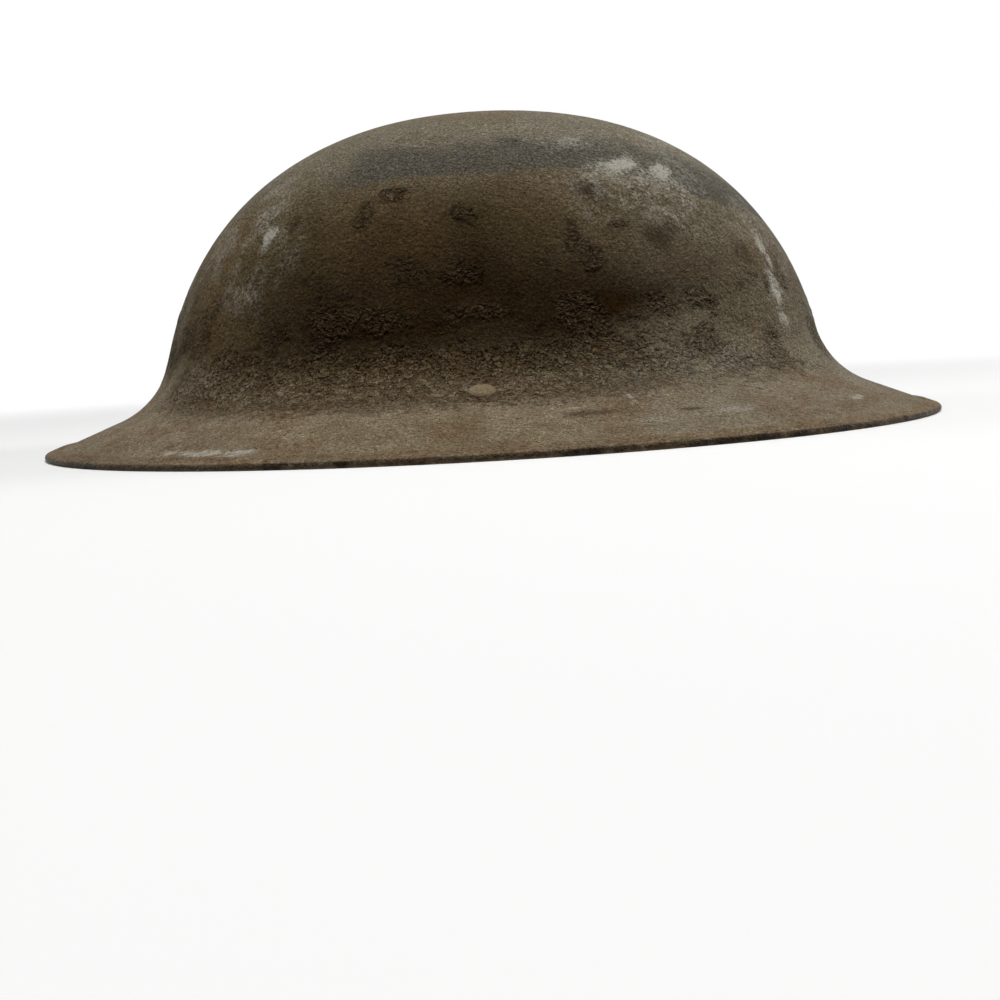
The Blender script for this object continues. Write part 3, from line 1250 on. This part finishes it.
def net_lashings():
    """Turns of thread that tie the lowest corners to the headband."""
    turn = np.linspace(0, 2 * math.pi, 21)[:-1, None]
    for _, _, place, outward in net_corners(NET_ROWS):
        normal = outward / np.linalg.norm(outward)
        side = np.cross([0, 0, 1.0], normal)
        for lift in (-1.1, 0.2, 1.5):
            loop = place + [0, 0, lift] + 1.1 * (np.cos(turn) * normal + 0.9 * np.sin(turn) * side)
            yield tube_mesh(loop, 0.4, 6, True, plies=2, pitch=1.7, lobes=0.2)


def make_net():
    piece = mesh_object("net_twine", *joined([*net_strands(), *net_knots(), *net_lashings()]))
    dress(piece, "helmet", "twine", "net")


def make_drawcord():
    """The cord that draws the net's top together, knotted, with two short tails."""
    drop = NET_T + LOOSE + DRAWCORD_D / 2
    steps = np.linspace(0, NET_AROUND, 121)[:-1]
    ring = net_point(steps, 0, drop)
    ring[:, 2] += 0.35 * np.sin(steps * 2 * math.pi)
    knot_at = net_point(NET_AROUND * 0.3, 0, drop)
    parts = [tube_mesh(ring, DRAWCORD_D / 2 - 0.12, 14, True, plies=3, pitch=4.6, lobes=0.18),
             knot_mesh(knot_at, np.array([0, 0, 1.0]), 1.9, 0.95, 0.6)]
    t = np.linspace(0, 1, 12)
    for side in (-1, 1):
        tail = knot_at + xyz(1.5 * side * t + 3 * side * t ** 2, -4.5 * t, -0.8 * np.sin(2.4 * t))
        parts.append(tube_mesh(tail, 0.95 - 0.15 * t, 10, plies=3, pitch=4.6, lobes=0.18))
    dress(mesh_object("net_drawcord_rope", *joined(parts)), "helmet", "twine", "net_drawcord")


# Bails

def wire_path(width, length, corner, step=0.5):
    """A flat rectangle with round corners, as the middle of a wire, with one side on the X axis."""
    centres = [(width / 2 - corner, corner, -math.pi / 2), (width / 2 - corner, length - corner, 0),
               (corner - width / 2, length - corner, math.pi / 2), (corner - width / 2, corner, math.pi)]
    path = [(x + corner * math.cos(turn), y + corner * math.sin(turn), 0)
            for x, y, start in centres for turn in np.linspace(start, start + math.pi / 2, 12)]
    return even_steps(np.array(path + path[:1]), step)[:-1]


def barrel_place():
    """The barrel's axis in a fitting's frame, as (y, z)."""
    return LUG_REACH, -STEEL - LUG_GAP - (BAIL_WIRE_D / 2 + FIT + LUG_T)


def pivot_place():
    """The bail's axis on the right side as (y, z), its fall in radians, and the strap wire's y."""
    y, z = barrel_place()
    at = fitting_frame("right") @ Vector((0, y, z))
    fall = math.asin((at.z - STRAP_HEIGHT) / BAIL_LEN)
    return at.y, at.z, fall, at.y + BAIL_LEN * math.cos(fall)


def bail_frame(side):
    y, z, fall, _ = pivot_place()
    if side == "left":
        return shift(-FITTING_BACK, -y, z) @ turn_z(math.pi) @ turn_x(-fall)
    return shift(-FITTING_BACK, y, z) @ turn_x(-fall)


def make_bails():
    path = wire_path(BAIL_W, BAIL_LEN, BAIL_CORNER)
    for number, side in enumerate(("right", "left")):
        thin = 0.05 * (noise(path + 50 * number, 6, 311) - 0.3)
        points, faces = tube_mesh(path, BAIL_WIRE_D / 2 - thin, 20, True)
        piece = mesh_object("bail_wire_" + side, placed(points, bail_frame(side)), faces)
        dress(piece, "bail_" + side, "bare_steel", "bail_" + side)
        make_lug(side)


def make_lug(side):
    """A strip of steel under the brim, curled round the bail's wire at its inner end."""
    y, z = barrel_place()
    middle_r = BAIL_WIRE_D / 2 + FIT + LUG_T / 2
    corner = 3
    flat = np.linspace(-LUG_BACK, y, 24)[:-1]
    curl = np.radians(np.linspace(90, -215, 40))
    run_y = np.concatenate([flat, y + middle_r * np.cos(curl)])[:, None]
    run_z = np.concatenate([np.full(len(flat), z + middle_r), z + middle_r * np.sin(curl)])[:, None]
    columns = np.linspace(-1, 1, 17)
    from_end = np.clip(run_y + LUG_BACK - corner, -corner, 0)
    half = LUG_W / 2 - corner + np.sqrt(corner ** 2 - from_end ** 2)
    points = xyz(half * columns, run_y, run_z)
    thickness = (LUG_T - 0.04) * rounded(columns * LUG_W / 2 + 0 * run_y, LUG_W / 2, 0.3)
    shaped = placed(points.reshape(-1, 3), fitting_frame(side))
    piece = skin("lug_strip_" + side, shaped, grid_faces(len(run_y), len(columns), False), thickness)
    rough = both_sides(smooth(layered(points, 3, 321), 0.45, 0.65))
    paint_mask(piece, "rust", rough)
    paint_mask(piece, "rubbed", 0.4 * (1 - rough))
    dress(piece, "helmet", "steel_paint", "lug_" + side)


# Chinstrap

def strap_frame(side):
    _, _, _, loop_y = pivot_place()
    if side == "left":
        return turn_z(math.pi) @ shift(FITTING_BACK, loop_y, STRAP_HEIGHT)
    return shift(-FITTING_BACK, loop_y, STRAP_HEIGHT)


def past_bend(side):
    return strap_frame(side) @ shift(0, LOOP_LEN, 0) @ turn_z(-STRAP_ASIDE)


def strap_plan(distance):
    """Place and heading of a strap's middle line seen from above, at distances from the bail's wire."""
    ease = 5.0
    fine = np.linspace(-10, 140, 3001)
    heading = STRAP_ASIDE * smooth(fine, LOOP_LEN - ease, LOOP_LEN + ease)
    x = np.concatenate([[0], np.cumsum(np.sin(heading[:-1]) * np.diff(fine))])
    y = np.concatenate([[0], np.cumsum(np.cos(heading[:-1]) * np.diff(fine))]) - 10
    return np.interp(distance, fine, x), np.interp(distance, fine, y), np.interp(distance, fine, heading)


def loop_run(wire_d):
    """The middle of the leather round a wire, as (distance, height) from the lower layer to the upper."""
    inner = wire_d / 2 + LOOSE
    layer = STRAP_T - SKIVE
    middle = inner + layer / 2
    join = MEETING * (inner + layer)
    meet = math.atan2(layer / 2, join) + math.acos(middle / math.hypot(join, layer / 2))
    turn = np.linspace(-meet, meet - 2 * math.pi, 30)
    arc = np.stack([middle * np.cos(turn), middle * np.sin(turn)], -1)
    return join, layer / 2, arc


def even_run(corners, step):
    """Points at even steps along a bent line, with its corners softened."""
    for _ in range(3):
        corners = even_steps(corners, step)
        corners[1:-1] = (corners[:-2] + 2 * corners[1:-1] + corners[2:]) / 4
    return corners


def strap_surface(run, half, seed):
    """Points across a strap along its run of (distance, height), with a soft lie of the leather."""
    x, y, heading = (values[:, None] for values in strap_plan(run[:, 0]))
    across = half * COLUMNS
    points = xyz(x + across * np.cos(heading), y - across * np.sin(heading), run[:, 1:])
    points[..., 2] += 0.12 * (layered(points + seed, 22, 331) - 0.5)
    return points


# Places of a strap's points across it, from -1 to 1, closer at its edges
HALF_COLUMNS = [0.8, 1.6, 2.3, 3.6, 5, 6.3, 7.2, 7.75, 8]
COLUMNS = np.array([-place for place in HALF_COLUMNS[::-1]] + [0] + HALF_COLUMNS) / 8


def strap_places(run):
    """Distance along a strap and place across it for each of its points."""
    across, distance = np.meshgrid(COLUMNS * STRAP_W / 2, run[:, 0])
    return distance.ravel(), across.ravel()


def strap_thickness(rows, full, least):
    """Thickness at each point of a strap, with soft edges and less at both ends."""
    row = np.arange(rows)
    ends = smooth(row, -1, 2) * smooth(row, rows, rows - 3)
    return rounded(COLUMNS * STRAP_W / 2, STRAP_W / 2, 0.8) * (full * np.maximum(ends, least))[:, None]


def strap_masks(piece, points, seed):
    """Numbers for a strap's leather: dark burnished edges and rubbed places."""
    edge = smooth(np.abs(COLUMNS * STRAP_W / 2), 6.2, 7.8)
    paint_mask(piece, "edge", both_sides(edge + 0 * points[..., 0]))
    paint_mask(piece, "rubbed", both_sides(smooth(layered(points + seed, 14, 341), 0.48, 0.7)))


def strap_start():
    """Corners of a strap's run, from its end under the loop and round the bail's wire to its single layer."""
    join, layer, arc = loop_run(BAIL_WIRE_D)
    return [(LOOP_LEN - 0.2, -layer), (join, -layer), *arc, (join, layer), (LOOP_LEN, layer),
            (LOOP_LEN + 6, STRAP_T / 2)]


def make_buckle_strap():
    """The short strap: looped on the right bail, and looped again round the buckle's bar."""
    end = LOOP_LEN + SHORT_LEN
    sewn = end - BUCKLE_LOOP_LEN
    join, layer, arc = loop_run(BUCKLE_WIRE_D)
    finish = [(sewn - 4, STRAP_T / 2), (end - join, layer), *[(end - d, -z) for d, z in arc],
              (end - join, -layer), (sewn + 0.2, -layer)]
    run = even_run(strap_start() + finish, 0.7)
    points = strap_surface(run, STRAP_W / 2, 0)
    single = np.abs(run[:, 0] - (LOOP_LEN + sewn) / 2) < 30
    thickness = strap_thickness(len(run), np.where(single, STRAP_T - 0.1, 1.8), 0.4)
    faces = grid_faces(len(run), len(COLUMNS), False)
    distance, across = strap_places(run)
    slot = (np.abs(across[faces].mean(1)) < SLOT_W / 2) & (distance[faces].mean(1) > end - SLOT_LEN)
    shaped = placed(points.reshape(-1, 3), strap_frame("right"))
    piece = skin("buckle_strap_leather", shaped, faces[~slot][:, ::-1], thickness)
    strap_masks(piece, points, 0)
    dress(piece, "buckle_strap", "strap_leather", "strap_buckle_end")


def crisp_row(piece, row, count, rows):
    """Marks the edges across a strap at one row as sharp, so that no crease shows where two pieces meet."""
    numbers = set(range(row * count, (row + 1) * count))
    numbers |= {number + rows * count for number in numbers}
    for edge in piece.data.edges:
        edge.use_edge_sharp = set(edge.vertices) <= numbers


def tip_strap_run():
    """The long strap's run up to its fold, round it, and back to its tip."""
    fold = LOOP_LEN + LONG_INNER_LEN
    fold_r = (STRAP_T + FOLD_GAP) / 2
    upper = STRAP_T / 2
    lower = upper - 2 * fold_r
    inner = even_run(strap_start() + [(fold - 0.6, upper)], 0.7)
    turn = np.linspace(math.pi / 2, -math.pi / 2, 41)[1:]
    bulge = np.stack([fold - 0.6 + fold_r * np.cos(turn), (upper + lower) / 2 + fold_r * np.sin(turn)], -1)
    back = np.arange(fold - 1.2, LONG_TIP, -0.6)
    return inner, bulge, np.stack([back, np.full(len(back), lower)], -1)


def punched(points, run, folded):
    """Draws the points round each hole out to its edge, and returns the faces that the holes leave."""
    distance, across = strap_places(run)
    faces = grid_faces(len(run), len(COLUMNS), False)
    under = (faces >= folded * len(COLUMNS)).all(1)
    left = np.ones(len(faces), bool)
    flat = points.reshape(-1, 3)
    for i in range(1, HOLE_COUNT + 1):
        centre = LONG_TIP + POINT_LEN / 2 + i * HOLE_PITCH
        along = distance - centre
        reach = np.hypot(along, across)
        inside = (reach[faces].mean(1) < HOLE_D / 2 - 0.15) & under
        left &= ~(inside & (reach[faces].max(1) < HOLE_D))
        ring = np.unique(faces[inside])
        ring = ring[reach[ring] > 0.7]
        pull = HOLE_D / 2 / reach[ring] - 1
        heading = strap_plan(centre)[2]
        flat[ring, 0] += pull * (along[ring] * np.sin(heading) + across[ring] * np.cos(heading))
        flat[ring, 1] += pull * (along[ring] * np.cos(heading) - across[ring] * np.sin(heading))
    return faces[left][:, ::-1]


def make_tip_strap():
    """The long strap: looped on the left bail, folded back under itself, with a row of holes to its tip."""
    inner, bulge, outer = tip_strap_run()
    run = np.concatenate([inner, bulge, outer])
    folded = len(inner) + len(bulge)
    to_tip = np.full(len(run), float(LONG_OUTER_LEN))
    to_tip[folded:] = outer[:, 0] - LONG_TIP
    half = STRAP_W / 2 * np.clip(1 - smooth(to_tip, POINT_LEN, 0) * 0.93, 0.06, 1)
    points = strap_surface(run, half[:, None], 60)
    points[len(inner) - 1:, :, 2] = run[len(inner) - 1:, 1:]
    faces = punched(points, run, folded)
    thickness = strap_thickness(len(run), STRAP_T - 0.12, 0.35)
    count = len(COLUMNS)
    cut = int(np.argmax(run[:, 0] > LOOP_LEN + 10))
    parts = []
    for name, body, low, high in (("tip_strap_loop", "tip_strap", 0, cut),
                                  ("tip_strap_leather", None, cut, len(run) - 1)):
        inside = ((faces // count >= low) & (faces // count <= high)).all(1)
        rows = slice(low, high + 1)
        at = placed(points[rows].reshape(-1, 3), strap_frame("left"))
        piece = skin(name, at, faces[inside] - low * count, thickness[rows])
        strap_masks(piece, points[rows], 60)
        crisp_row(piece, cut - low, count, high - low + 1)
        parts.append(dress(piece, body, "strap_leather", "strap_tip_inner", "strap_tip_outer"))
    at_fold = past_bend("left") @ Vector((0, LONG_INNER_LEN, 0))
    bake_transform(parts[1])


def make_keeper():
    """A leather loop round the strap."""
    half_x = STRAP_W / 2 + LOOSE + KEEPER_T / 2
    half_z = STRAP_T / 2 + LOOSE + KEEPER_T / 2
    path = wire_path(2 * half_x, 2 * half_z, 1.0, 0.35)
    across = np.linspace(-KEEPER_W / 2, KEEPER_W / 2, 13)[:, None] + 0 * path[:, 0]
    points = xyz(path[:, 0], across, path[:, 1] - half_z)
    thickness = (KEEPER_T - 0.1) * rounded(across, KEEPER_W / 2, 0.6)
    shaped = placed(points.reshape(-1, 3),
                    past_bend("right") @ shift(0, KEEPER_PLACE + KEEPER_W / 2, STRAP_T / 2))
    piece = skin("keeper_loop", shaped, grid_faces(*across.shape), thickness)
    paint_mask(piece, "edge", both_sides(smooth(np.abs(across), 2.8, 3.9)))
    paint_mask(piece, "rubbed", both_sides(smooth(points[..., 2], 0.5, 1.8)))
    dress(piece, "keeper", "strap_leather", "keeper")


def strap_stitches():
    """Rows of thread through the sewn loops at the bails."""
    along = np.linspace(8.5, LOOP_LEN - 0.8, 12)
    for side, body in (("right", "buckle_strap"), ("left", "tip_strap")):
        parts = []
        for across in (-6, 6):
            for face in (1, -1):
                line = xyz(across, along, face * 1.85)
                parts += stitch_row(line, np.tile([0, 0, face], (len(along), 1)), 2.0, 0.32, 2.7)
        points, faces = joined(parts)
        thread = mesh_object("strap_stitches_" + side, placed(points, strap_frame(side)), faces)
        dress(thread, body, "twine")


def bar_frame():
    return past_bend("right") @ shift(0, SHORT_LEN, 0)


def make_buckle():
    path = wire_path(BUCKLE_W, BUCKLE_LEN, BUCKLE_CORNER, 0.4)
    points, faces = tube_mesh(path, BUCKLE_WIRE_D / 2 - 0.03 * noise(path, 4, 351), 20, True)
    piece = mesh_object("buckle_wire", placed(points, bar_frame()), faces)
    dress(piece, "buckle", "buckle_brass", "buckle_frame")


def make_tongue():
    """The buckle's tongue, curled round its bar and narrower towards its end."""
    eye_r = BUCKLE_WIRE_D / 2 + FIT + TONGUE_T / 2
    rest = BUCKLE_WIRE_D / 2 + TOUCH_GAP + TONGUE_T / 2
    reach = BUCKLE_LEN + BUCKLE_WIRE_D
    eye = [(eye_r * math.cos(t), eye_r * math.sin(t)) for t in np.radians(np.linspace(385, 100, 34))]
    run = even_run(eye + [(2.2, rest + 0.05), (reach - 0.2, rest)], 0.35)
    rows = len(run)
    columns = np.linspace(-1, 1, 9)
    narrow = TONGUE_W / 2 * (1 - 0.45 * smooth(run[:, :1], 4, reach))
    points = xyz(narrow * columns, run[:, :1], run[:, 1:])
    ends = np.maximum(smooth(np.arange(rows), rows + 1, rows - 4), 0.3)
    thickness = (TONGUE_T - 0.05) * rounded(columns, 1, 0.45) * ends[:, None]
    faces = grid_faces(rows, len(columns), False)[:, ::-1]
    piece = skin("buckle_tongue_bar", placed(points.reshape(-1, 3), bar_frame()), faces, thickness)
    dress(piece, "tongue", "buckle_brass", "buckle_tongue")


def make_strap_rivets():
    layer = STRAP_T - SKIVE
    tail = [(0.05, -0.62), (1.2, -0.7), (2.6, -0.55), (2.8, -0.3), (2.7, 0.05), (1.2, 0)]
    profile = [(r, z - layer) for r, z in tail] + [(1.2, layer)]
    profile += [(r, z + layer) for r, z in dome_profile(5.6, 0.7)]
    places = (("right", strap_frame("right"), LOOP_LEN - 5, "buckle_strap", "strap_rivet_right"),
              ("left", strap_frame("left"), LOOP_LEN - 5, "tip_strap", "strap_rivet_left"),
              ("buckle", past_bend("right"), SHORT_LEN - BUCKLE_LOOP_LEN + 4, "buckle_strap", "buckle_rivet"))
    for name, frame_at, distance, body, node in places:
        points, faces = turned_solid(profile, 48)
        points = placed(points, frame_at @ shift(0, distance, 0))
        dress(mesh_object("strap_rivet_cap_" + name, points, faces), body, "copper", node)


# Camera, lights and floor

CAMERA_DISTANCE = 0.45
CAMERA_RISE = math.radians(3.15)
CAMERA_ROLL = math.radians(3.28)
AIM_ASIDE = 0.0009
AIM_UP = -0.0272
PIXELS_PER_MM = 2.784
IMAGE_SIDE = 1000
SENSOR = 36


def make_camera():
    """The photograph's viewpoint: level with the brim on the wearer's right, and rolled a little."""
    right = Vector((1, 0, 0))
    up = Vector((0, math.sin(CAMERA_RISE), math.cos(CAMERA_RISE)))
    ahead = Vector((0, math.cos(CAMERA_RISE), -math.sin(CAMERA_RISE)))
    aim = (right * AIM_ASIDE + up * AIM_UP + ahead * CAMERA_DISTANCE).normalized()
    across = up.cross(-aim).normalized()
    upright = (-aim).cross(across)
    image_x = across * math.cos(CAMERA_ROLL) - upright * math.sin(CAMERA_ROLL)
    image_y = across * math.sin(CAMERA_ROLL) + upright * math.cos(CAMERA_ROLL)
    data = bpy.data.cameras.new("camera")
    data.sensor_width = SENSOR
    data.lens = PIXELS_PER_MM * CAMERA_DISTANCE / MM * SENSOR / IMAGE_SIDE
    data.clip_start = 0.01
    data.clip_end = 100
    camera = bpy.data.objects.new("camera", data)
    camera.matrix_world = Matrix.Translation(Vector((0, 0, NOSE_Z * MM)) - ahead * CAMERA_DISTANCE) @ Matrix(
        (image_x, image_y, -aim)).transposed().to_4x4()
    bpy.context.scene.collection.objects.link(camera)
    bpy.context.scene.camera = camera


def area_light(name, place, aim, size, power):
    data = bpy.data.lights.new(name, "AREA")
    data.shape = "DISK"
    data.size = size
    data.energy = power
    light = bpy.data.objects.new(name, data)
    light.location = place
    light.rotation_euler = (Vector(aim) - Vector(place)).to_track_quat("-Z", "Y").to_euler()
    bpy.context.scene.collection.objects.link(light)


def make_lights():
    """Soft light from above, a little from the front and the back, and a sky that is dim at the horizon."""
    area_light("overhead", (0.12, -0.32, 1.3), (0, 0, 0.05), 0.45, 12)
    area_light("front_side", (1.3, 0.35, 0.6), (0, 0, 0.06), 0.6, 6.5)
    area_light("back_side", (-1.3, 0.35, 0.6), (0, 0, 0.06), 0.6, 3.5)
    area_light("under_floor", (0.15, -0.1, -0.9), (0, 0, 0.06), 0.5, 9)
    world = bpy.data.worlds.new("studio")
    bpy.context.scene.world = world
    world.use_nodes = True
    sky = Nodes(world.node_tree)
    ray = sky.node("ShaderNodeTexCoord").outputs["Generated"]
    rise = sky.node("ShaderNodeSeparateXYZ", {0: ray}).outputs["Z"]
    background = sky.tree.nodes["Background"].inputs
    sky.put(background["Color"], (1, 1, 1))
    sky.put(background["Strength"], sky.seen(sky.step(rise, -0.1, 1.0, 0.03, 0.22)))


FLOOR_HALF = 4.0


def make_floor():
    """A pale floor that keeps the shadow. From below it is clear, to the eye and to the lamp there."""
    half = FLOOR_HALF / MM
    points = [(-half, -half, 0), (half, -half, 0), (half, half, 0), (-half, half, 0)]
    floor = mesh_object("floor", points, [(0, 1, 2, 3)], False)
    p = Paint("pale_floor", 0.9)
    p.put(p.shader.inputs["Specular IOR Level"], 0.1)
    away = p.node("ShaderNodeVectorMath", {0: p.place}, operation="LENGTH").outputs["Value"]
    seen = p.seen(0.0)
    far = p.times(p.step(away, 0.25, 0.9), seen)
    white = p.node("ShaderNodeEmission", {"Color": (1, 1, 1), "Strength": 1.0}).outputs[0]
    clear = p.node("ShaderNodeBsdfTransparent").outputs[0]
    backs = p.node("ShaderNodeNewGeometry").outputs["Backfacing"]
    below = p.math("MAXIMUM", backs, p.node("ShaderNodeLightPath").outputs["Is Shadow Ray"])
    top = p.node("ShaderNodeMixShader", {0: far, 1: p.shader.outputs[0], 2: white}).outputs[0]
    both = p.node("ShaderNodeMixShader", {0: below, 1: top, 2: clear}).outputs[0]
    p.put(p.tree.nodes["Material Output"].inputs["Surface"], both)
    p.finish(p.mix(seen, (0.25, 0.25, 0.25), (0.975, 0.975, 0.97)))
    floor.data.materials.append(p.material)


bpy.context.scene.view_settings.view_transform = "Standard"
make_camera()
make_lights()
make_floor()

rivet_paint = painted_steel("rivet_steel", 0.35)
materials = {
    "steel_paint": painted_steel("painted_steel"),
    "bare_steel": plain_metal("bare_steel_metal", (0.36, 0.34, 0.30), (0.12, 0.10, 0.08)),
    "felt": felt_cloth(),
    "oilcloth": oilcloth_skin(),
    "headband_leather": leather("headband_skin", (0.23, 0.13, 0.07), (0.12, 0.062, 0.032)),
    "band_cloth": woven_tape(),
    "rubber": rubber_skin(),
    "twine": hemp_twine(),
    "strap_leather": leather("strap_skin", (0.27, 0.15, 0.075), (0.13, 0.065, 0.032)),
    "copper": plain_metal("copper_metal", (0.47, 0.28, 0.18), (0.18, 0.10, 0.06)),
    "buckle_brass": plain_metal("brass_metal", (0.46, 0.37, 0.20), (0.17, 0.13, 0.07)),
}
for row in frame["record"]["subparts"]:
    cad = frame["nodes"][row["node"]]
    cad.data.materials.clear()
    cad.data.materials.append(materials[row["material_slot"]])

make_shell()
make_rim()
make_rivets()
make_crown_rivet()
make_crown_washer()
make_felt()
make_oilcloth()
make_headband()
make_carrier()
make_cushions()
make_net()
make_drawcord()
make_bails()
make_buckle_strap()
make_tip_strap()
make_keeper()
strap_stitches()
make_buckle()
make_tongue()
make_strap_rivets()
